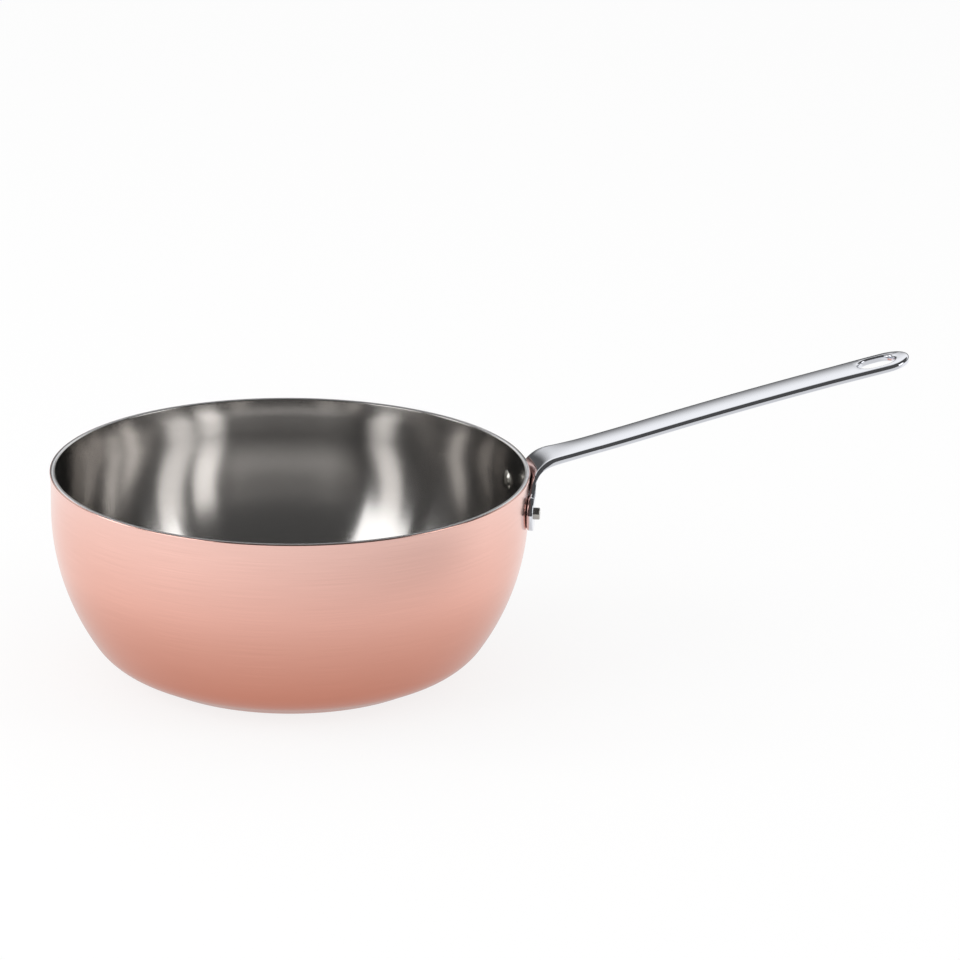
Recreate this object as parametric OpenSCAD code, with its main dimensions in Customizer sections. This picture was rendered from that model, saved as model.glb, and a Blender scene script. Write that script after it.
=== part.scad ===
// Saucier pan: a three-layer clad body with a flat foot, and a long steel
// handle that two rivets hold to the wall. Millimetres, origin at the centre
// of the foot, +Z up, and the handle leaves along +X.

/* [Pan body] */
// Outside diameter of the rim
rim_d = 200; // [170:1:260]
// How far the lip stands out from the straight wall
rim_flare = 0.5; // [0.2:0.1:1.2]
// Height of the lip's flare
flare_h = 8; // [6:0.5:10]
// Height of the upright wall, lip included
wall_h = 15.8; // [15.6:0.2:40]
// Radius of the bowl's large curve, below the upright wall
bowl_r = 100; // [80:1:120]
// Angle that the large curve turns through
bowl_a = 34; // [28:1:38]
// Radius of the heel, the tighter curve above the foot
heel_r = 27.5; // [20:0.5:34]
// Steepness of the flank below the heel, from upright
heel_a = 63.6; // [55:0.2:70]
// Length of the straight flank between the heel and the foot
flank_l = 10; // [2:0.5:14]
// Radius of the corner round the flat foot
foot_r = 10; // [6:0.5:14]

/* [Clad layers] */
// Thickness of the copper outside
copper_t = 0.5; // [0.4:0.05:1]
// Thickness of the aluminium core
core_t = 1.4; // [0.8:0.1:2.4]
// Thickness of the steel lining
lining_t = 0.4; // [0.4:0.05:0.8]

/* [Handle] */
// Reach of the handle's end from the pan's axis, past the rim's radius
handle_reach = 160.7; // [120:0.5:220]
// Width of the bar
bar_w = 19.2; // [16:0.2:21]
// Thickness of the bar
bar_t = 3; // [2.6:0.1:3.6]
// Width across the rounded end
end_w = 20.4; // [19:0.2:24]
// Length over which the bar widens to its end
taper_l = 26; // [20:1:40]
// Rise of the bar where it leaves the bend
rise_a = 14; // [8:0.5:20]
// Further rise of the bar along its first run
lift_a = 1.8; // [0.6:0.2:4]
// Length of the bar's first run
lift_l = 41; // [30:1:60]
// Fall of the rise along the rest of the bar
fall_a = 2.8; // [0.8:0.2:5]
// Radius of the bend on its wall side
bend_out_r = 14; // [12:0.5:18]
// Radius of the bend on its underside
bend_in_r = 8; // [6:0.5:9]
// Depth of the bend's start below the rim
bend_drop = 9.4; // [8.5:0.1:11]
// Radius of the sides where the bar spreads to the bracket
root_r = 20; // [14:1:30]
// Length of that spread
root_l = 14.4; // [11:0.2:16]
// Length of the hanging hole
hole_l = 15.6; // [13:0.2:20]
// Width of the hanging hole
hole_w = 12; // [9:0.2:13]
// Distance from the hole's centre to the handle's end
hole_to_end = 13.7; // [12.5:0.1:24]

/* [Bracket and rivets] */
// Thickness of the bracket's plate
plate_t = 2.8; // [2.4:0.1:3.4]
// Gap between the bracket and the wall
seat_gap = 0.1; // [0.05:0.05:0.3]
// Radius of the lobe round each rivet
lobe_r = 7.3; // [6:0.1:7.4]
// Width of the neck between the lobes and the bend
neck_w = 24; // [21:0.5:26]
// Radius of the neck's sides
neck_r = 10; // [8:0.5:11]
// Radius of the arch under the bracket
arch_r = 26; // [24:1:40]
// Angle of each rivet from the handle's line, round the pan's axis
rivet_a = 13.3; // [13:0.1:16]
// Depth of the rivets below the rim
rivet_drop = 15; // [14.5:0.1:15.5]
// Diameter of a rivet's shank
shank_d = 5; // [4:0.1:6]
// Play between a shank and its hole, on the radius
shank_gap = 0.05; // [0.02:0.01:0.15]
// Diameter of the domed head inside the pan
head_d = 9; // [8:0.1:12]
// Height of the domed head
head_h = 1.7; // [1.2:0.1:2.5]
// How far the set end stands out from the bracket
tail_l = 2.2; // [1:0.1:4]
// Bevel round the set end
tail_bevel = 0.4; // [0.1:0.05:0.8]

/* [Hidden] */

$fn = 180;
arc_n = 12;
spare = 1;

wall_r = rim_d / 2 - rim_flare;
flare_r = (flare_h * flare_h + rim_flare * rim_flare) / (2 * rim_flare);
clad_t = copper_t + core_t + lining_t;

// Centres of the tangent arcs, worked out from the foot upwards
foot_z = foot_r;
heel_z = foot_z + (heel_r - foot_r) * sin(heel_a) + flank_l * cos(heel_a);
bowl_z = heel_z + (bowl_r - heel_r) * sin(bowl_a);
rim_z = bowl_z + wall_h;
bowl_x = wall_r - bowl_r;
heel_x = bowl_x + (bowl_r - heel_r) * cos(bowl_a);
foot_x = heel_x + (heel_r - foot_r) * cos(heel_a) - flank_l * sin(heel_a);

// Places on the handle
seat_r = wall_r + seat_gap;
end_x = rim_d / 2 + handle_reach;
bend_z = rim_z - bend_drop;
bar_x0 = seat_r + bend_out_r * (1 - sin(rise_a));
bar_z0 = bend_z + bend_out_r * cos(rise_a);
bar_run = (end_x - bar_x0) / cos(rise_a) - lift_l;
rivet_z = rim_z - rivet_drop;
lobe_y = (seat_r + plate_t / 2) * sin(rivet_a);
inner_r = wall_r - clad_t;
head_r = (head_d * head_d / 4 + head_h * head_h) / (2 * head_h);

// Points on an arc round [x, z], from angle a0 to angle a1
function arc(x, z, r, a0, a1, n = arc_n) =
  [for (i = [0 : n]) let (a = a0 + (a1 - a0) * i / n) [x + r * cos(a), z + r * sin(a)]];

// Points of a curved run that starts at p with heading a and turns evenly.
// side moves the points off the run, square to it.
function run(p, a, length, turn, side = 0, n = arc_n) =
  let (r = length * 180 / (PI * turn))
  [for (i = [0 : n]) let (b = a + turn * i / n)
    p + r * [sin(b) - sin(a), cos(a) - cos(b)] + side * [-sin(b), cos(b)]];

// The body's outline from the rim down to the axis, d inside the outer face
function outline(d) =
  let (top_a = asin(flare_h / (flare_r + d)))
  concat(
    arc(wall_r + flare_r, rim_z - flare_h, flare_r + d, 180 - top_a, 180),
    arc(bowl_x, bowl_z, bowl_r - d, 0, -bowl_a),
    arc(heel_x, heel_z, heel_r - d, -bowl_a, -heel_a),
    arc(foot_x, foot_z, foot_r - d, -heel_a, -90),
    [[0, d], [0, rim_z]]);

// Everything inside the outline that lies d inside the outer face
module filled(d) {
  polygon(outline(d));
}

// One clad layer, between depths d0 and d1
module layer(d0, d1) {
  difference() {
    rotate_extrude() difference() {
      filled(d0);
      filled(d1);
    }
    rivet_holes();
  }
}

// Places its child on each rivet's line, pointing away from the pan's axis
module on_rivet(sign) {
  rotate([0, 0, sign * rivet_a]) translate([0, 0, rivet_z]) rotate([0, 90, 0]) children();
}

module rivet_holes() {
  for (sign = [-1, 1])
    on_rivet(sign)
      translate([0, 0, inner_r - 2 * head_h])
        cylinder(h = clad_t + plate_t + 4 * head_h, d = shank_d + 2 * shank_gap);
}

module copper_outer_layer() {
  color("#c98a6a") layer(0, copper_t);
}

module aluminium_core() {
  color("#b9bcc0") layer(copper_t, copper_t + core_t);
}

module steel_lining() {
  color("#d5d6d8") layer(copper_t + core_t, clad_t);
}

// Side view of the strip that forms the bracket, the bend and the bar
module strip_profile() {
  lift_p = [bar_x0, bar_z0];
  top_1 = run(lift_p, rise_a, lift_l, lift_a);
  top_2 = run(top_1[arc_n], rise_a + lift_a, bar_run, -fall_a);
  low_1 = run(lift_p, rise_a, lift_l, lift_a, -bar_t);
  low_2 = run(top_1[arc_n], rise_a + lift_a, bar_run, -fall_a, -bar_t);
  bend_in_x = seat_r + plate_t + bend_in_r;
  knee_x = bend_in_x - bend_in_r * sin(rise_a);
  knee_z = low_1[0][1] - (low_1[0][0] - knee_x) * tan(rise_a);
  bend_in_z = knee_z - bend_in_r * cos(rise_a);
  polygon(concat(
    arc(seat_r + bend_out_r, bend_z, bend_out_r, 180, 90 + rise_a),
    top_1, top_2,
    [for (i = [arc_n : -1 : 0]) low_2[i]],
    [for (i = [arc_n : -1 : 0]) low_1[i]],
    arc(bend_in_x, bend_in_z, bend_in_r, 90 + rise_a, 180),
    [[seat_r + plate_t, bend_z]]));
  intersection() {
    difference() {
      filled(-seat_gap - plate_t);
      filled(-seat_gap);
    }
    translate([seat_r / 2, rivet_z - 2 * lobe_r])
      square([seat_r, bend_z - rivet_z + 2 * lobe_r]);
  }
}

// Plan of the handle: free at the wall, spread at the root, round at the end
module plan_outline() {
  root_x = seat_r + root_l;
  round_x = end_x - end_w / 2;
  reach_y = lobe_y + 2 * lobe_r;
  translate([seat_r / 2, -reach_y]) square([seat_r / 2 + plate_t, 2 * reach_y]);
  difference() {
    translate([seat_r, -reach_y]) square([root_l, 2 * reach_y]);
    for (sign = [-1, 1])
      translate([root_x, sign * (bar_w / 2 + root_r)]) circle(r = root_r);
  }
  polygon([
    [seat_r, -bar_w / 2], [round_x - taper_l, -bar_w / 2], [round_x, -end_w / 2],
    [round_x, end_w / 2], [round_x - taper_l, bar_w / 2], [seat_r, bar_w / 2]]);
  translate([round_x, 0]) circle(d = end_w);
}

// Front view of the bracket: two lobes, a waisted neck and an arch below
module front_outline() {
  side_y = neck_w / 2 + neck_r;
  side_z = rivet_z + sqrt(pow(lobe_r + neck_r, 2) - pow(side_y - lobe_y, 2));
  arch_z = rivet_z - sqrt(pow(lobe_r + arch_r, 2) - lobe_y * lobe_y);
  touch_z = rivet_z - lobe_r * (rivet_z - arch_z) / (lobe_r + arch_r);
  for (sign = [-1, 1]) translate([sign * lobe_y, rivet_z]) circle(r = lobe_r);
  difference() {
    translate([-lobe_y, touch_z]) square([2 * lobe_y, side_z - touch_z]);
    for (sign = [-1, 1]) translate([sign * side_y, side_z]) circle(r = neck_r);
    translate([0, arch_z]) circle(r = arch_r);
  }
  translate([-neck_w / 2, side_z - spare]) square([neck_w, end_x]);
}

module handle() {
  hole_x = end_x - hole_to_end;
  hole_off = (hole_l - hole_w) / 2;
  color("#c4c6ca") difference() {
    intersection() {
      rotate_extrude() strip_profile();
      linear_extrude(height = rim_z + end_x) plan_outline();
      rotate([90, 0, 90]) linear_extrude(height = end_x + spare) front_outline();
    }
    rivet_holes();
    translate([hole_x, 0, rim_z]) {
      for (sign = [-1, 1])
        translate([sign * hole_off, 0, 0]) cylinder(h = end_x, d = hole_w);
      translate([-hole_off, -hole_w / 2, 0]) cube([2 * hole_off, hole_w, end_x]);
    }
  }
}

// A rivet: a domed head that fits the curved lining, a shank, and a set end
module rivet(sign) {
  tail_x = seat_r + plate_t + tail_l;
  color("#aeb1b5") {
    intersection() {
      on_rivet(sign) translate([0, 0, inner_r - head_h + head_r]) sphere(r = head_r);
      on_rivet(sign) cylinder(h = inner_r + spare, d = head_d);
      cylinder(h = rim_z, r = inner_r - shank_gap / 2);
    }
    on_rivet(sign) translate([0, 0, inner_r - head_h / 2]) {
      cylinder(h = tail_x - tail_bevel - inner_r + head_h / 2, d = shank_d);
      translate([0, 0, tail_x - tail_bevel - inner_r + head_h / 2])
        cylinder(h = tail_bevel, d1 = shank_d, d2 = shank_d - 2 * tail_bevel);
    }
  }
}

module front_rivet() {
  rivet(-1);
}

module rear_rivet() {
  rivet(1);
}

copper_outer_layer();
aluminium_core();
steel_lining();
handle();
front_rivet();
rear_rivet();
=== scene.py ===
# %% [markdown]
# Saucier pan, a lesson in cells
#
# The pan is a clad body with a copper outside and a steel inside, and a long
# steel handle that two rivets hold to the wall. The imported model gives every
# size, so the first cell loads it and keeps its box.

# %% Load the frame
import bisect
import math

import bmesh
import bpy
from mathutils import Matrix, Vector


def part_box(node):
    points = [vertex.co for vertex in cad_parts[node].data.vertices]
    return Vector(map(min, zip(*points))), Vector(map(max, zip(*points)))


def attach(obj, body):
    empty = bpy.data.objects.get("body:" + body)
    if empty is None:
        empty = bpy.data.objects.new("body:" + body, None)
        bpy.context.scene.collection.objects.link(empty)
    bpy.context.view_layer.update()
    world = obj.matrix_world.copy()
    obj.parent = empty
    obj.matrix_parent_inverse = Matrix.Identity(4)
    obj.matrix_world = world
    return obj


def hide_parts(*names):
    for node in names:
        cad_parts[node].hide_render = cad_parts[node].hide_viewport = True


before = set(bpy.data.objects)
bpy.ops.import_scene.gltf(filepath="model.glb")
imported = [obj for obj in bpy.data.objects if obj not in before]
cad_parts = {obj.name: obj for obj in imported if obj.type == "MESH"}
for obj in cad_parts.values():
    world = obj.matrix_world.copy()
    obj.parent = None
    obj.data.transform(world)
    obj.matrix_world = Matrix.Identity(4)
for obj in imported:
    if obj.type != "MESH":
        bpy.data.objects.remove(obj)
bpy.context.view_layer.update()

# %% [markdown]
# The camera
#
# A camera far away with a long lens gives the flat perspective of a studio
# picture. Its place is found by fitting the outline of the rim and the bowl,
# then it is written here as a distance, a pitch and small aiming angles.

# %% Camera
MM = 0.001
IMAGE_W = 960
rim_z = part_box("copper_outer_layer")[1].z

camera_distance = 2.5
camera_pitch = math.radians(17.881)
handle_turn = math.radians(6.0)
aim_yaw = math.radians(1.904)
aim_pitch = camera_pitch + math.radians(0.0928)
aim_roll = math.radians(0.797)
focal_px = 6003.5

to_row = Matrix.Rotation(-handle_turn, 3, "Z")
spot = Vector((0, -camera_distance * math.cos(camera_pitch), camera_distance * math.sin(camera_pitch)))
ahead = Vector((
    math.sin(aim_yaw) * math.cos(aim_pitch),
    math.cos(aim_yaw) * math.cos(aim_pitch),
    -math.sin(aim_pitch),
))
level = Vector((math.cos(aim_yaw), -math.sin(aim_yaw), 0))
above = level.cross(ahead)
right = level * math.cos(aim_roll) + above * math.sin(aim_roll)
up = above * math.cos(aim_roll) - level * math.sin(aim_roll)

camera = bpy.data.objects.new("camera", bpy.data.cameras.new("camera"))
bpy.context.collection.objects.link(camera)
turn = Matrix((to_row @ right, to_row @ up, to_row @ -ahead)).transposed()
camera.matrix_world = Matrix.Translation(to_row @ spot + Vector((0, 0, rim_z))) @ turn.to_4x4()
camera.data.sensor_width = 36
camera.data.lens = camera.data.sensor_width * focal_px / IMAGE_W
camera.data.clip_end = 20
bpy.context.scene.camera = camera
print("camera at", [round(v, 3) for v in camera.location], "lens", round(camera.data.lens, 1))

# %% [markdown]
# Helpers
#
# One function turns a hex colour to linear light, and one adds a node with
# its settings and links. A lathe spins a half outline into a closed body, as
# a pan is really spun over a turning form.

# %% Helpers
def linear(code):
    """Linear RGBA of an sRGB hex colour."""
    parts = [int(code[i:i + 2], 16) / 255 for i in (1, 3, 5)]
    return [c / 12.92 if c <= 0.04045 else ((c + 0.055) / 1.055) ** 2.4 for c in parts] + [1]


def add(tree, kind, links=None, **settings):
    """Adds a node. Settings name attributes or, after in_, sockets by name or number."""
    made = tree.nodes.new(kind)
    for key, value in settings.items():
        if key.startswith("in_"):
            socket = key[3:].replace("_", " ")
            made.inputs[int(socket) if socket.isdigit() else socket].default_value = value
        else:
            setattr(made, key, value)
    for socket, source in (links or {}).items():
        tree.links.new(source, made.inputs[socket])
    return made


def new_material(name):
    """A material with its node tree and its Principled shader."""
    made = bpy.data.materials.new(name)
    made.use_nodes = True
    return made, made.node_tree, made.node_tree.nodes["Principled BSDF"]


def arc(x, z, r, a0, a1, n):
    """Points on an arc round (x, z), in degrees."""
    spans = [math.radians(a0 + (a1 - a0) * i / n) for i in range(n + 1)]
    return [(x + r * math.cos(a), z + r * math.sin(a)) for a in spans]


def lathe(name, outline, steps=256, weld=1e-7):
    """Spins a closed half outline, given in metres, and welds points closer than weld."""
    bm = bmesh.new()
    ring = [bm.verts.new((x, 0, z)) for x, z in outline]
    edges = [bm.edges.new((ring[i], ring[i + 1])) for i in range(len(ring) - 1)]
    bmesh.ops.spin(
        bm, geom=ring + edges, cent=(0, 0, 0), axis=(0, 0, 1),
        angle=2 * math.pi, steps=steps, use_merge=True)
    bmesh.ops.remove_doubles(bm, verts=bm.verts, dist=weld)
    bmesh.ops.recalc_face_normals(bm, faces=bm.faces)
    for face in bm.faces:
        face.smooth = True
    mesh = bpy.data.meshes.new(name)
    bm.to_mesh(mesh)
    bm.free()
    made = bpy.data.objects.new(name, mesh)
    bpy.context.collection.objects.link(made)
    print(name, len(mesh.polygons), "faces")
    return made


# %% [markdown]
# The clad body
#
# Sheets of copper, aluminium and steel are bonded and then spun to shape, so
# all three follow one outline. The outline is a chain of tangent arcs: the
# lip, the upright wall, the bowl, the tighter heel, and the foot's corner.

# %% Clad body
wall_r = 99.5
flare_h, flare_r = 8.0, 64.25
bowl_r, bowl_a = 100.0, 34.0
heel_r, heel_a = 27.5, 63.6
flank_l, foot_r = 10.0, 10.0
copper_t, core_t, lining_t = 0.5, 1.4, 0.4
clad_t = copper_t + core_t + lining_t
outer_round, inner_round = 0.45, 0.35
lip_n, bowl_n, heel_n, foot_n, round_n = 12, 24, 16, 10, 5


def sin_d(a):
    return math.sin(math.radians(a))


def cos_d(a):
    return math.cos(math.radians(a))


heel_z = foot_r + (heel_r - foot_r) * sin_d(heel_a) + flank_l * cos_d(heel_a)
bowl_z = heel_z + (bowl_r - heel_r) * sin_d(bowl_a)
heel_x = wall_r - bowl_r + (bowl_r - heel_r) * cos_d(bowl_a)
foot_x = heel_x + (heel_r - foot_r) * cos_d(heel_a) - flank_l * sin_d(heel_a)
rim_mm = rim_z / MM


def body_line(d, drop=0.0):
    """The body's half outline, d mm inside its outer face, from drop below the rim."""
    r = flare_r + d
    top_a = math.degrees(math.asin((flare_h - drop) / r))
    line = arc(wall_r + flare_r, rim_mm - flare_h, r, 180 - top_a, 180, lip_n)
    line += arc(wall_r - bowl_r, bowl_z, bowl_r - d, 0, -bowl_a, bowl_n)
    line += arc(heel_x, heel_z, heel_r - d, -bowl_a, -heel_a, heel_n)
    line += arc(foot_x, foot_r, foot_r - d, -heel_a, -90, foot_n)
    return line + [(0, d)]


def clad_layer(name, d0, d1, round_out, round_in):
    """One layer between depths d0 and d1, with its top corners rounded."""
    outer = body_line(d0, round_out)
    inner = body_line(d1, round_in)
    if round_out:
        top = arc(outer[0][0] - round_out, rim_mm - round_out, round_out, 90, 0, round_n)[:-1]
    else:
        top = [outer[0]]
        outer = outer[1:]
    if round_in:
        top = arc(inner[0][0] + round_in, rim_mm - round_in, round_in, 180, 90, round_n)[1:] + top
    else:
        top = [inner[0]] + top
        inner = inner[1:]
    closed = list(reversed(inner)) + top + outer
    made = lathe(name, [(x * MM, z * MM) for x, z in closed])
    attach(made, "root")
    return made


copper_shell = clad_layer("copper_shell", 0, copper_t, outer_round, 0)
core_shell = clad_layer("core_shell", copper_t, copper_t + core_t, 0, 0)
lining_shell = clad_layer("lining_shell", copper_t + core_t, clad_t, 0, inner_round)
for piece, node in (
    (copper_shell, "copper_outer_layer"),
    (core_shell, "aluminium_core"),
    (lining_shell, "steel_lining"),
):
    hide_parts(node)

# %% [markdown]
# The handle: a flat blank, then bent
#
# A maker cuts one flat steel blank with its lobes, its holes and its round
# end, rounds all its edges, and then bends it. The mesh is made in the same
# order, so the edges stay even round every curve. First comes the path that
# the strip will take, as its top line and its low line seen from the side.

# %% Path of the strip, from the side
seat_gap, bend_drop, rivet_drop = 0.1, 9.4, 15.0
seat_r = wall_r + seat_gap
plate_t, bar_t = 2.8, 3.0
bend_out_r, bend_in_r, rise_a = 14.0, 8.0, 14.0
bend_z = rim_mm - bend_drop
end_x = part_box("handle")[1].x / MM
rivet_a, rivet_z = 13.3, rim_mm - rivet_drop


def bar_run(start, heading, length, turn, side=0.0):
    """Points of a run that turns evenly, moved off it by side."""
    r = math.degrees(length / turn)
    spans = [heading + turn * i / run_n for i in range(run_n + 1)]
    return [(
        start[0] + r * (sin_d(b) - sin_d(heading)) - side * sin_d(b),
        start[1] + r * (cos_d(heading) - cos_d(b)) + side * cos_d(b),
    ) for b in spans]


def spaced(line, count):
    """The same line with its points at even steps."""
    marks = [0.0]
    for a, b in zip(line, line[1:]):
        marks.append(marks[-1] + math.dist(a, b))
    made, k = [], 0
    for i in range(count + 1):
        at = marks[-1] * i / count
        while k < len(line) - 2 and marks[k + 1] < at:
            k += 1
        f = (at - marks[k]) / (marks[k + 1] - marks[k])
        made.append(tuple(a + (b - a) * f for a, b in zip(line[k], line[k + 1])))
    return made, marks[-1]


lift_l, lift_a, fall_a = 41.0, 1.8, 2.8
bar_start = (seat_r + bend_out_r * (1 - sin_d(rise_a)), bend_z + bend_out_r * cos_d(rise_a))
bar_length = (end_x - bar_start[0]) / cos_d(rise_a) - lift_l
bend_n, run_n = 40, 48
bend_top_n, bend_low_n = 80, 60
bend_top, bend_length = spaced(
    arc(seat_r + bend_out_r, bend_z, bend_out_r, 180, 90 + rise_a, bend_top_n), bend_n)
first_top = bar_run(bar_start, rise_a, lift_l, lift_a)
first_low = bar_run(bar_start, rise_a, lift_l, lift_a, -bar_t)
last_top = bar_run(first_top[-1], rise_a + lift_a, bar_length, -fall_a)
last_low = bar_run(first_top[-1], rise_a + lift_a, bar_length, -fall_a, -bar_t)
knee_x = seat_r + plate_t + bend_in_r * (1 - sin_d(rise_a))
knee_z = first_low[0][1] - (first_low[0][0] - knee_x) * math.tan(math.radians(rise_a))
bend_in_z = knee_z - bend_in_r * cos_d(rise_a)
bend_low, _ = spaced(
    [(seat_r + plate_t, bend_z)]
    + arc(seat_r + plate_t + bend_in_r, bend_in_z, bend_in_r, 180, 90 + rise_a, bend_low_n)
    + [first_low[0]], bend_n)

stations = (
    [bend_length * i / bend_n for i in range(bend_n)]
    + [bend_length + lift_l * i / run_n for i in range(run_n)]
    + [bend_length + lift_l + bar_length * i / run_n for i in range(run_n + 1)])
top_path = bend_top[:-1] + first_top[:-1] + last_top
low_path = bend_low[:-1] + first_low[:-1] + last_low
blank_length = stations[-1]
print("blank runs", round(blank_length, 1), "mm past the bend's start")


def pick(s, values):
    """A value between the stations, at length s."""
    k = min(max(bisect.bisect_right(stations, s) - 1, 0), len(stations) - 2)
    f = (s - stations[k]) / (stations[k + 1] - stations[k])
    return tuple(a + (b - a) * f for a, b in zip(values[k], values[k + 1]))


def along(x):
    """Length along the blank where its top reaches x."""
    k = min(max(bisect.bisect_right([p[0] for p in top_path], x) - 1, 0), len(top_path) - 2)
    f = (x - top_path[k][0]) / (top_path[k + 1][0] - top_path[k][0])
    return stations[k] + f * (stations[k + 1] - stations[k])


# %% [markdown]
# The blank's outline
#
# Below the bend the outline is two lobes for the rivets, joined by an arch.
# Above them the sides draw in to a waist and run on to the bar, which widens
# a little to its half round end. The hanging hole is a slot near that end.

# %% Outline of the blank
lobe_r, neck_w, neck_r, arch_r = 7.3, 24.0, 10.0, 26.0
bar_w, end_w, taper_l, root_r, root_l = 19.2, 20.4, 26.0, 20.0, 14.4
spread_l, spread_rate, corner_w = 1.6, 0.8, 1.2
lobe_y = (seat_r + plate_t / 2) * sin_d(rivet_a)
lobe_s = rivet_z - bend_z
side_y = neck_w / 2 + neck_r
side_s = lobe_s + math.sqrt((lobe_r + neck_r) ** 2 - (side_y - lobe_y) ** 2)
arch_s = lobe_s - math.sqrt((lobe_r + arch_r) ** 2 - lobe_y ** 2)
arch_a = math.degrees(math.atan2(lobe_s - arch_s, lobe_y))
neck_a = math.degrees(math.atan2(side_s - lobe_s, side_y - lobe_y))


def smooth(f):
    """Eases from 0 to 1 while f goes from 0 to 1."""
    f = min(max(f, 0.0), 1.0)
    return f * f * (3 - 2 * f)


def blended(a, b, width):
    """The smaller of a and b, with the corner between them rounded."""
    return (a + b - math.sqrt((a - b) ** 2 + width * width)) / 2


def half_width(s):
    """Half the blank's width above the lobes."""
    x, z = pick(s, top_path)
    rise = min(bend_z + side_s - z, neck_r)
    neck = side_y - math.sqrt(max(neck_r ** 2 - max(rise, 0) ** 2, 0))
    reach = min(max(seat_r + root_l - x, 0), root_l)
    root = bar_w / 2 + root_r - math.sqrt(root_r ** 2 - reach ** 2)
    root += spread_rate * max(seat_r + plate_t + spread_l - x, 0) ** 2
    flare = (end_w - bar_w) / 2 * smooth((x - (end_x - end_w / 2 - taper_l)) / taper_l)
    return flare + (blended(neck, root, corner_w) if s < 2 * bend_length else root)


arch_n, lobe_n, side_n, end_n = 30, 60, 300, 40
side_ease = 1.6
round_x = end_x - end_w / 2
half = arc(0, arch_s, arch_r, 90, arch_a, arch_n)
half += arc(lobe_y, lobe_s, lobe_r, arch_a - 180, neck_a, lobe_n)[1:]
first_s = lobe_s + lobe_r * sin_d(neck_a)
side_l = along(round_x) - first_s
side_run = [first_s + side_l * (i / side_n) ** side_ease for i in range(1, side_n)]
half += [(half_width(s), s) for s in side_run]
half += [(y, along(x)) for x, y in arc(round_x, 0, end_w / 2, 90, 0, end_n)]
outline_2d = [(s, y) for y, s in half] + [(s, -y) for y, s in reversed(half[1:-1])]
closed_outline = outline_2d + outline_2d[:1]
step_mm = 0.9
outer_length = sum(math.dist(a, b) for a, b in zip(closed_outline, closed_outline[1:]))
outer_loop = spaced(closed_outline, round(outer_length / step_mm))[0][:-1]

hole_inset, hole_l, hole_w = 13.7, 15.6, 12.0
slot_n, hole_n, rivet_n = 30, 64, 32
rivet_hole_r = 2.55
hole_x = end_x - hole_inset
hole_off = (hole_l - hole_w) / 2
slot_xy = arc(hole_x + hole_off, 0, hole_w / 2, -90, 90, slot_n)
slot_xy += arc(hole_x - hole_off, 0, hole_w / 2, 90, 270, slot_n)
hole_loop = spaced([(along(x), y) for x, y in slot_xy + slot_xy[:1]], hole_n)[0][:-1]
loops = [outer_loop, hole_loop]
for side in (-1, 1):
    loops.append([
        (lobe_s + y, side * lobe_y + x) for x, y in arc(0, 0, rivet_hole_r, 0, 360, rivet_n)[:-1]])
print("outline has", len(outer_loop), "points")

# %% [markdown]
# Edges rounded on the flat
#
# Each loop of the outline gets rings that follow a quarter circle over its
# edge, above and below. The faces between the loops are filled and then cut
# on a grid, because only a mesh with enough cuts can bend smoothly.

# %% Flat blank
half_t = bar_t / 2
edge_n = 6
edge_step = 90 // edge_n


def inward(loop, metal_inside):
    """Unit steps from each point of a loop into the metal."""
    area = sum(a[0] * b[1] - b[0] * a[1] for a, b in zip(loop, loop[1:] + loop[:1]))
    sign = 1 if (area > 0) == metal_inside else -1
    steps = []
    for i in range(len(loop)):
        before, after = loop[i - 1], loop[(i + 1) % len(loop)]
        ds, dy = after[0] - before[0], after[1] - before[1]
        size = math.hypot(ds, dy)
        steps.append((-sign * dy / size, sign * ds / size))
    return steps


def edge_rings(bm, loop, metal_inside, top_r, low_r):
    """Rings of vertices over a rounded edge, from the top face to the bottom face."""
    steps = inward(loop, metal_inside)
    levels = [(top_r * (1 - cos_d(a)), half_t - top_r + top_r * sin_d(a))
              for a in range(90, -1, -edge_step)]
    levels += [(low_r * (1 - cos_d(a)), -half_t + low_r - low_r * sin_d(a))
               for a in range(0, 91, edge_step)]
    rings = [[bm.verts.new((s + d * si, y + d * yi, n)) for (s, y), (si, yi) in zip(loop, steps)]
             for d, n in levels]
    for upper, lower in zip(rings, rings[1:]):
        for i in range(len(loop)):
            j = (i + 1) % len(loop)
            bm.faces.new((upper[i], upper[j], lower[j], lower[i]))
    return rings[0], rings[-1]


blank = bmesh.new()
outer_edge, hole_edge, rivet_edge = (1.3, 0.5), (0.9, 0.5), (0.2, 0.2)
edge_radii = (outer_edge, hole_edge, rivet_edge, rivet_edge)
rims = [edge_rings(blank, loop, i == 0, *r) for i, (loop, r) in enumerate(zip(loops, edge_radii))]
for face_side in (0, 1):
    borders = [
        blank.edges.get((rim[face_side][i - 1], rim[face_side][i]))
        for rim in rims for i in range(len(rim[face_side]))]
    bmesh.ops.triangle_fill(blank, use_beauty=True, use_dissolve=False, edges=borders)

plate_l, plate_step = 18, 2
curve_l, curve_step, bar_step = 24, 0.75, 3
mid_n, mid_step = 5, 1.45
lobe_from, lobe_step, lobe_cuts = 12, 2, 10
weld_mm = 1e-4
cuts = [(s, 0) for s in range(-plate_l, 1, plate_step)]
cuts += [(curve_step * i, 0) for i in range(1, round(curve_l / curve_step))]
cuts += [(curve_l + bar_step * i, 0) for i in range(int((blank_length - curve_l) / bar_step) + 1)]
cuts += [(mid_step * i, 1) for i in range(-mid_n, mid_n + 1)]
cuts += [(side * (lobe_from + lobe_step * i), 1) for i in range(lobe_cuts) for side in (-1, 1)]
for place, across in cuts:
    bmesh.ops.bisect_plane(
        blank, geom=blank.verts[:] + blank.edges[:] + blank.faces[:], dist=weld_mm,
        plane_co=(0, place, 0) if across else (place, 0, 0),
        plane_no=(0, 1, 0) if across else (1, 0, 0))
blank.normal_update()


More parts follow.
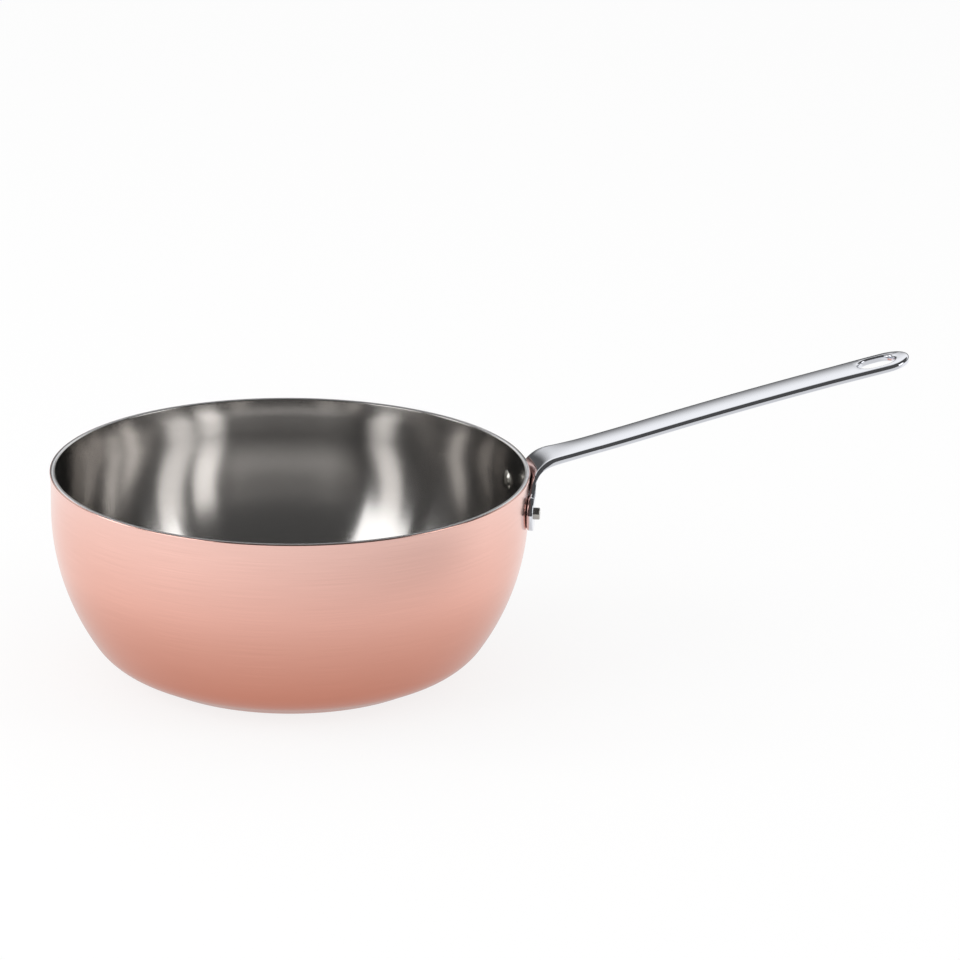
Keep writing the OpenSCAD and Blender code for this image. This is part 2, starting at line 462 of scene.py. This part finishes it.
def is_stray(edge, least_run=1e-3, flat_z=0.9999):
    """True for a fill's slanted edge on a flat face."""
    run_s, run_y = (abs(edge.verts[0].co[k] - edge.verts[1].co[k]) for k in (0, 1))
    return (min(run_s, run_y) > least_run and len(edge.link_faces) == 2
            and all(abs(face.normal.z) > flat_z for face in edge.link_faces))


bmesh.ops.dissolve_edges(blank, edges=[e for e in blank.edges if is_stray(e)], use_verts=True)
print("flat blank", len(blank.faces), "faces")

# %% [markdown]
# Bending and crowning
#
# Every point of the blank moves to the bent strip: a bracket wrapped round
# the wall, a bend that leans out over the rim, and a bar with a slight rise.
# A shallow crown on the bar makes a soft highlight run along it, and the tip
# turns plumb, because the maker cuts it off upright.

# %% Bent handle
crown_top, crown_low, crown_most = 0.4, 0.15, 1.2
crown_from, crown_l = 8.0, 24.0
wrap_to, unwrap_l = 6.0, 26.0
tip_l = 30.0


def bent(s, y, n):
    """Where a point of the flat blank comes to lie, in metres."""
    if s < 0:
        z = bend_z + s
        sink = bowl_r - math.sqrt(bowl_r ** 2 - max(bowl_z - z, 0) ** 2)
        top, low = (seat_r - sink, z), (seat_r + plate_t - sink, z)
    else:
        top, low = pick(s, top_path), pick(s, low_path)
        plumb = smooth((s - blank_length + tip_l) / tip_l)
        low = (low[0] + (top[0] - low[0]) * plumb, low[1])
    bow = min((2 * y / bar_w) ** 2, crown_most) * smooth((s - crown_from) / crown_l) / bar_t
    f = (n / half_t + 1) / 2
    f = crown_low * bow + f * (1 - (crown_top + crown_low) * bow)
    r, z = (a + (b - a) * f for a, b in zip(low, top))
    turn_a = math.asin(max(-1, min(1, y / (seat_r + plate_t / 2))))
    wrap = 1 - smooth((s - wrap_to) / unwrap_l)
    x = r + (r * math.cos(turn_a) - r) * wrap
    return Vector((x, y + (r * math.sin(turn_a) - y) * wrap, z)) * MM


for vert in blank.verts:
    vert.co = bent(*vert.co)
bmesh.ops.recalc_face_normals(blank, faces=blank.faces)


def settle(name, bm):
    """Makes a smooth shaded object of a bmesh and lets it ride the pan."""
    for face in bm.faces:
        face.smooth = True
    mesh = bpy.data.meshes.new(name)
    open_edges = sum(len(edge.link_faces) != 2 for edge in bm.edges)
    bm.to_mesh(mesh)
    bm.free()
    made = bpy.data.objects.new(name, mesh)
    bpy.context.collection.objects.link(made)
    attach(made, "root")
    print(name, len(mesh.polygons), "faces,", open_edges, "open edges")
    return made


bent_handle = settle("bent_handle", blank)

# %% [markdown]
# The rivets
#
# A rivet is turned to a domed head on a shank, pushed through from inside,
# and set outside, where its end stays a short plain stub with a bevel. The
# head is pressed to the wall, so it takes the wall's curve.

# %% Rivets
shank_d, head_d, head_h, tail_l, tail_bevel = 5.0, 9.0, 1.7, 2.2, 0.4
bevel_gap, tail_flat_r, head_bite = 0.1, 0.6, 0.02
dome_n, bevel_n, rivet_steps = 14, 4, 64
head_r = (head_d ** 2 / 4 + head_h ** 2) / (2 * head_h)
head_a = math.degrees(math.asin(head_d / 2 / head_r))
inner_r = wall_r - clad_t
tail_x = seat_r + plate_t + tail_l


def rivet(name, side):
    """A rivet on the wall, side -1 in front and 1 behind."""
    stub_z = tail_x - inner_r
    bevel_z = stub_z - tail_bevel
    line = arc(0, head_r - head_h, head_r, 270, 270 + head_a, dome_n)
    line += [(shank_d / 2, 0.0), (shank_d / 2, clad_t + plate_t), (shank_d / 2, bevel_z - bevel_gap)]
    line += arc(shank_d / 2 - tail_bevel, bevel_z, tail_bevel, 0, 90, bevel_n)
    line += [(tail_flat_r, stub_z), (0.0, stub_z)]
    bm = bmesh.new()
    ring = [bm.verts.new((x, 0, z)) for x, z in line]
    edges = [bm.edges.new(pair) for pair in zip(ring, ring[1:])]
    bmesh.ops.spin(bm, geom=ring + edges, cent=(0, 0, 0), axis=(0, 0, 1),
                   angle=2 * math.pi, steps=rivet_steps, use_merge=True)
    bmesh.ops.remove_doubles(bm, verts=bm.verts, dist=weld_mm)
    bmesh.ops.recalc_face_normals(bm, faces=bm.faces)
    spread = Matrix.Rotation(math.radians(side * rivet_a), 4, "Z")
    aim = Matrix.Rotation(math.radians(90), 4, "Y")
    for vert in bm.verts:
        co = aim @ vert.co
        sag = inner_r - math.sqrt(inner_r ** 2 - co.y ** 2)
        is_head = co.x <= head_bite / 2
        co.x += inner_r - (sag + head_bite if is_head else 0)
        vert.co = (spread @ co + Vector((0, 0, rivet_z))) * MM
    return settle(name, bm)


domed_front = rivet("domed_front_rivet", -1)
domed_rear = rivet("domed_rear_rivet", 1)
for piece, node in ((bent_handle, "handle"), (domed_front, "front_rivet"), (domed_rear, "rear_rivet")):
    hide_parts(node)

# %% [markdown]
# Copper, satin polished
#
# Copper is a pale pinkish orange metal. It could be one flat colour, but a
# satin polish on a lathe leaves fine rings round the axis, so noise is drawn
# out round the axis and shades both the colour and the roughness. The colour
# also carries painted shade and light by height: deeper at the foot, paler at the rim.

# %% Copper material
def satin_rings(tree, pitch_mm, stretch):
    """Noise drawn out round the axis, with steps of pitch_mm over the wall and the floor."""
    place = add(tree, "ShaderNodeTexCoord")
    parts = add(tree, "ShaderNodeSeparateXYZ", {0: place.outputs["Object"]})
    angle = add(
        tree, "ShaderNodeMath", {0: parts.outputs[1], 1: parts.outputs[0]}, operation="ARCTAN2")
    flat = add(
        tree, "ShaderNodeVectorMath", {0: place.outputs["Object"]},
        operation="MULTIPLY", in_1=(1, 1, 0))
    radius = add(tree, "ShaderNodeVectorMath", {0: flat.outputs[0]}, operation="LENGTH")
    depth = add(
        tree, "ShaderNodeMath", {0: radius.outputs["Value"], 1: parts.outputs[2]}, operation="ADD")
    around = add(tree, "ShaderNodeMath", {0: angle.outputs[0]}, operation="MULTIPLY", in_1=stretch)
    fine = add(
        tree, "ShaderNodeMath", {0: depth.outputs[0]},
        operation="MULTIPLY", in_1=1 / (pitch_mm * MM))
    joined = add(tree, "ShaderNodeCombineXYZ", {0: around.outputs[0], 1: fine.outputs[0]})
    return add(tree, "ShaderNodeTexNoise", {"Vector": joined.outputs[0]}, in_Scale=1.0, in_Detail=3.0)


# Gives the eye a soft pink glow with faint level lines and no sharp mirror image.
copper, tree, shader = new_material("satin_polished_copper")
rings = satin_rings(tree, pitch_mm=0.5, stretch=3)
place = add(tree, "ShaderNodeTexCoord")
parts = add(tree, "ShaderNodeSeparateXYZ", {0: place.outputs["Object"]})
height = add(
    tree, "ShaderNodeMapRange", {0: parts.outputs[2]}, in_From_Min=0.0, in_From_Max=rim_z)
# Painted shade and light: the base colour darkens towards the foot and pales towards the rim by height.
painted_height_shade = add(tree, "ShaderNodeValToRGB", {0: height.outputs[0]})
foot_shade_colour, belly_shade_colour, rim_light_colour = linear("#e39379"), linear("#eeb09e"), linear("#fcd0c5")
belly_height = 0.45
painted_height_shade.color_ramp.elements[0].color = foot_shade_colour
painted_height_shade.color_ramp.elements[1].color = rim_light_colour
painted_height_shade.color_ramp.elements.new(belly_height).color = belly_shade_colour
shade = add(
    tree, "ShaderNodeMix", {"Factor": rings.outputs[0], 6: painted_height_shade.outputs[0]},
    data_type="RGBA", blend_type="MULTIPLY", in_7=linear("#f4f0ef"))
tree.links.new(shade.outputs[2], shader.inputs["Base Color"])
rough = add(tree, "ShaderNodeMapRange", {0: rings.outputs[0]}, in_To_Min=0.17, in_To_Max=0.22)
tree.links.new(rough.outputs[0], shader.inputs["Roughness"])
shader.inputs["Metallic"].default_value = 1.0
print(copper.name, len(tree.nodes), "nodes")

# %% [markdown]
# Aluminium core and brushed steel lining
#
# The core shows only as the rim's bright edge, which is cut on the lathe, so
# it takes finer rings. The lining is brushed round the axis. Brush lines
# could be modelled as bump, but they are too fine for a render, so an
# anisotropic shader spreads the light across them, in upright bands.

# %% Aluminium and lining materials
# Gives the eye a thin bright line without a clear mirror image.
alloy, tree, shader = new_material("cut_aluminium_edge")
rings = satin_rings(tree, pitch_mm=0.15, stretch=4)
rough = add(tree, "ShaderNodeMapRange", {0: rings.outputs[0]}, in_To_Min=0.22, in_To_Max=0.34)
tree.links.new(rough.outputs[0], shader.inputs["Roughness"])
shader.inputs["Base Color"].default_value = linear("#f4f4f6")
shader.inputs["Metallic"].default_value = 1.0

# Gives the eye a warm grey metal with bright upright bands and faint level lines.
# Real brush lines are under 0.1 mm apart, so they are drawn coarser, to show.
brushed, tree, shader = new_material("round_brushed_stainless_steel")
rings = satin_rings(tree, pitch_mm=0.35, stretch=14)
shade = add(
    tree, "ShaderNodeMix", {"Factor": rings.outputs[0]},
    data_type="RGBA", in_6=linear("#c6c3c0"), in_7=linear("#d6d4d2"))
tree.links.new(shade.outputs[2], shader.inputs["Base Color"])
rough = add(tree, "ShaderNodeMapRange", {0: rings.outputs[0]}, in_To_Min=0.13, in_To_Max=0.19)
tree.links.new(rough.outputs[0], shader.inputs["Roughness"])
shader.inputs["Metallic"].default_value = 1.0
shader.inputs["Anisotropic"].default_value = 0.8
shader.inputs["Anisotropic Rotation"].default_value = 0.25
tangent = add(tree, "ShaderNodeTangent", direction_type="RADIAL", axis="Z")
tree.links.new(tangent.outputs[0], shader.inputs["Tangent"])
print(alloy.name, "and", brushed.name, "made")

# %% [markdown]
# Polished stainless steel
#
# The handle and the rivets are stainless steel. The handle is buffed almost
# to a mirror, with marks that run along it, so its noise is stretched and
# turned to lie along the bar. The rivets are struck and left duller, so
# theirs is an even grain.

# %% Steel materials
# Gives the eye a near mirror: pale on top, with a dark line along the near edge.
polished, tree, shader = new_material("buffed_stainless_steel")
place = add(tree, "ShaderNodeTexCoord")
mark_l, mark_w, bar_a = 20 * MM, 1.2 * MM, -15
stretched = add(
    tree, "ShaderNodeMapping", {"Vector": place.outputs["Object"]}, vector_type="TEXTURE",
    in_Rotation=(0, math.radians(bar_a), 0), in_Scale=(mark_l, mark_w, mark_w))
marks = add(
    tree, "ShaderNodeTexNoise", {"Vector": stretched.outputs[0]}, in_Scale=1.0, in_Detail=4.0)
rough = add(tree, "ShaderNodeMapRange", {0: marks.outputs[0]}, in_To_Min=0.06, in_To_Max=0.09)
tree.links.new(rough.outputs[0], shader.inputs["Roughness"])
shader.inputs["Base Color"].default_value = linear("#e6e8ee")
shader.inputs["Metallic"].default_value = 1.0

# Gives the eye a greyer steel with soft highlights.
dull, tree, shader = new_material("satin_stainless_rivet")
place = add(tree, "ShaderNodeTexCoord")
grains_per_m = 300.0
grain = add(
    tree, "ShaderNodeTexNoise", {"Vector": place.outputs["Object"]},
    in_Scale=grains_per_m, in_Detail=2.0)
rough = add(tree, "ShaderNodeMapRange", {0: grain.outputs[0]}, in_To_Min=0.16, in_To_Max=0.22)
tree.links.new(rough.outputs[0], shader.inputs["Roughness"])
shader.inputs["Base Color"].default_value = linear("#b4b1ab")
shader.inputs["Metallic"].default_value = 1.0


def dress(piece, finish):
    """Gives every material slot of a piece one finish."""
    piece.data.materials.clear()
    piece.data.materials.append(finish)


dress(copper_shell, copper)
dress(core_shell, alloy)
dress(lining_shell, brushed)
dress(bent_handle, polished)
dress(domed_front, dull)
dress(domed_rear, dull)
print("finishes given")

# %% [markdown]
# The floor
#
# A white paper sweep lies under the pan. To the camera it is mostly its own
# white, with enough real shading left to keep the soft shadow. In the metal
# it shows painted shade, dimmer in front and more so to the right, and a
# painted shadow just round the foot, like a real studio floor away from its lamps.

# %% Floor
floor_half = 3.0
own_white = 0.82
bm = bmesh.new()
bmesh.ops.create_grid(bm, x_segments=1, y_segments=1, size=floor_half)
floor_mesh = bpy.data.meshes.new("floor")
bm.to_mesh(floor_mesh)
bm.free()
floor = bpy.data.objects.new("floor", floor_mesh)
bpy.context.collection.objects.link(floor)
paper, tree, shader = new_material("white_paper_sweep")
shader.inputs["Base Color"].default_value = linear("#ffffff")
shader.inputs["Roughness"].default_value = 0.9
path = add(tree, "ShaderNodeLightPath")
place = add(tree, "ShaderNodeTexCoord")
parts = add(tree, "ShaderNodeSeparateXYZ", {0: place.outputs["Object"]})
far = add(tree, "ShaderNodeVectorMath", {0: place.outputs["Object"]}, operation="LENGTH")
front = add(
    tree, "ShaderNodeMapRange", {0: parts.outputs[1]}, interpolation_type="SMOOTHSTEP",
    in_From_Min=-0.2, in_From_Max=0.0, in_To_Min=1.0, in_To_Max=0.0)
aside = add(
    tree, "ShaderNodeMapRange", {0: parts.outputs[0]},
    in_From_Min=-0.25, in_From_Max=0.26, in_To_Min=0.0, in_To_Max=0.32)
loss = add(tree, "ShaderNodeMath", {0: front.outputs[0], 1: aside.outputs[0]}, operation="MULTIPLY")
kept = add(tree, "ShaderNodeMath", {1: loss.outputs[0]}, operation="SUBTRACT", in_0=1.0)
# Painted shadow round the foot and painted shade in front, seen only in reflections.
painted_foot_shadow = add(
    tree, "ShaderNodeMapRange", {0: far.outputs["Value"]},
    in_From_Min=0.06, in_From_Max=0.16, in_To_Min=0.66, in_To_Max=1.0)
painted_floor_shade = add(tree, "ShaderNodeMath", {0: kept.outputs[0], 1: painted_foot_shadow.outputs[0]}, operation="MULTIPLY")
level = add(tree, "ShaderNodeMix", {0: path.outputs["Is Glossy Ray"], 3: painted_floor_shade.outputs[0]}, in_2=1.0)
glow = add(tree, "ShaderNodeEmission", {"Strength": level.outputs[0]})
direct = add(
    tree, "ShaderNodeMath",
    {0: path.outputs["Is Camera Ray"], 1: path.outputs["Is Glossy Ray"]}, operation="MAXIMUM")
clear = add(
    tree, "ShaderNodeMath",
    {0: direct.outputs[0], 1: path.outputs["Is Transmission Ray"]}, operation="MAXIMUM")
seen = add(tree, "ShaderNodeMath", {0: clear.outputs[0]}, operation="MULTIPLY", in_1=own_white)
mixed = add(tree, "ShaderNodeMixShader", {0: seen.outputs[0], 1: shader.outputs[0], 2: glow.outputs[0]})
tree.links.new(mixed.outputs[0], tree.nodes["Material Output"].inputs[0])
floor_mesh.materials.append(paper)
print(floor.name, "is", 2 * floor_half, "m wide")

# %% [markdown]
# The world
#
# The world is plain white to the camera, and a soft white fill on the floor.
# Polished metal shows what stands round it, so reflections see a room: a
# white wall behind the pan that fades out above and below, and a dim room
# elsewhere. That gives the handle its pale top and its dark edge.

# %% World
fill, room_dark = 0.8, 0.075
world = bpy.data.worlds.new("studio")
bpy.context.scene.world = world
world.use_nodes = True
tree = world.node_tree
path = add(tree, "ShaderNodeLightPath")
sky = add(tree, "ShaderNodeTexCoord")
aim = add(tree, "ShaderNodeSeparateXYZ", {0: sky.outputs["Generated"]})
low = add(
    tree, "ShaderNodeMapRange", {0: aim.outputs[2]}, interpolation_type="SMOOTHSTEP",
    in_From_Min=0.17, in_From_Max=0.42, in_To_Min=0.1, in_To_Max=1.06)
ceiling = add(
    tree, "ShaderNodeMapRange", {0: aim.outputs[2]}, interpolation_type="SMOOTHSTEP",
    in_From_Min=0.5, in_From_Max=0.6, in_To_Min=1.0, in_To_Max=0.05)
behind = add(
    tree, "ShaderNodeMapRange", {0: aim.outputs[1]}, interpolation_type="SMOOTHSTEP",
    in_From_Min=0.1, in_From_Max=0.7, in_To_Min=0.06, in_To_Max=1.0)
banded = add(tree, "ShaderNodeMath", {0: low.outputs[0], 1: ceiling.outputs[0]}, operation="MULTIPLY")
lit = add(tree, "ShaderNodeMath", {0: banded.outputs[0], 1: behind.outputs[0]}, operation="MULTIPLY")
mirror = add(tree, "ShaderNodeMath", {0: lit.outputs[0]}, operation="MAXIMUM", in_1=room_dark)
spread = add(tree, "ShaderNodeMix", {0: path.outputs["Is Glossy Ray"], 3: mirror.outputs[0]}, in_2=fill)
through = add(
    tree, "ShaderNodeMath",
    {0: path.outputs["Is Camera Ray"], 1: path.outputs["Is Transmission Ray"]}, operation="MAXIMUM")
strength = add(tree, "ShaderNodeMix", {0: through.outputs[0], 2: spread.outputs[0]}, in_3=1.0)
tree.links.new(strength.outputs[0], tree.nodes["Background"].inputs["Strength"])
tree.nodes["Background"].inputs[0].default_value = linear("#ffffff")
print("world", len(tree.nodes), "nodes")

# %% [markdown]
# The lamps
#
# Three tall softboxes stand beside the pan. Their soft upright reflections
# are the bright bands inside the bowl, and each lamp's bearing was found from
# the place of its band. They are dim enough that pale steel does not clip.

# %% Lamps
def softbox(name, place, target, width, height, power):
    """A flat lamp of real size that faces its target."""
    data = bpy.data.lights.new(name, "AREA")
    data.shape = "RECTANGLE"
    data.size, data.size_y = width, height
    data.energy = power
    lamp = bpy.data.objects.new(name, data)
    lamp.location = place
    lamp.rotation_euler = (Vector(target) - Vector(place)).to_track_quat("-Z", "Y").to_euler()
    bpy.context.collection.objects.link(lamp)


softbox("left_box", (-1.45, -0.8, 0.8), (0, 0, 0.05), 0.9, 1.4, 7.5)
softbox("right_box", (1.56, -0.57, 0.8), (0, 0, 0.05), 0.7, 1.2, 5)
softbox("left_side", (-1.65, 0.25, 0.8), (0, 0, 0.05), 0.7, 1.2, 7)

bpy.context.scene.view_settings.view_transform = "Standard"
print(len(bpy.data.lights), "lamps set")
